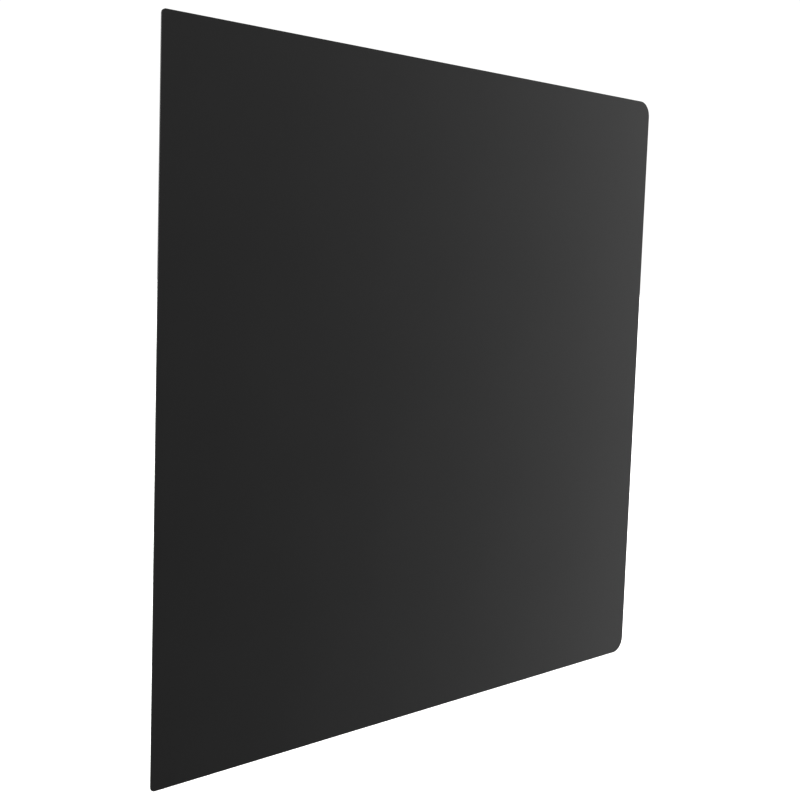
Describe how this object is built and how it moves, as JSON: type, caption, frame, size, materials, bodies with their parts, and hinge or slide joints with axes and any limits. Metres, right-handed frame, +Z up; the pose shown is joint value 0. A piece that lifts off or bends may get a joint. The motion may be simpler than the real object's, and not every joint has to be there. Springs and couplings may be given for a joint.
{
  "type": "door kick plate",
  "caption": "Flat square sheet-metal kick plate with rounded corners, matt black coating and strips of double-sided foam tape under release liners on its back.",
  "frame": {"origin": "middle of the bonding plane: the centre of the square, on the outer faces of the release liners", "axes": "+Z up the door, +X to the right seen from the coated side, +Y out of the back and into the door, so the coated face looks along -Y"},
  "size_m": [0.4, 0.0022, 0.4],
  "materials": {
    "black_coating": "matte",
    "foam_tape": "matte",
    "release_liner": "satin"
  },
  "bodies": {
    "plate": {"sheet": "black_coating", "tape_top": "foam_tape", "tape_bottom": "foam_tape", "tape_left": "foam_tape", "tape_inner_left": "foam_tape", "tape_centre": "foam_tape", "tape_inner_right": "foam_tape", "tape_right": "foam_tape"},
    "liner_top": {"liner_top": "release_liner"},
    "liner_bottom": {"liner_bottom": "release_liner"},
    "liner_left": {"liner_left": "release_liner"},
    "liner_inner_left": {"liner_inner_left": "release_liner"},
    "liner_centre": {"liner_centre": "release_liner"},
    "liner_inner_right": {"liner_inner_right": "release_liner"},
    "liner_right": {"liner_right": "release_liner"}
  },
  "joints": [
    {"name": "peel_top", "type": "slide", "parent": "plate", "child": "liner_top", "axis": [0, 1, 0], "range_m": [0, 0.05]},
    {"name": "peel_bottom", "type": "slide", "parent": "plate", "child": "liner_bottom", "axis": [0, 1, 0], "range_m": [0, 0.05]},
    {"name": "peel_left", "type": "slide", "parent": "plate", "child": "liner_left", "axis": [0, 1, 0], "range_m": [0, 0.05]},
    {"name": "peel_inner_left", "type": "slide", "parent": "plate", "child": "liner_inner_left", "axis": [0, 1, 0], "range_m": [0, 0.05]},
    {"name": "peel_centre", "type": "slide", "parent": "plate", "child": "liner_centre", "axis": [0, 1, 0], "range_m": [0, 0.05]},
    {"name": "peel_inner_right", "type": "slide", "parent": "plate", "child": "liner_inner_right", "axis": [0, 1, 0], "range_m": [0, 0.05]},
    {"name": "peel_right", "type": "slide", "parent": "plate", "child": "liner_right", "axis": [0, 1, 0], "range_m": [0, 0.05]}
  ]
}
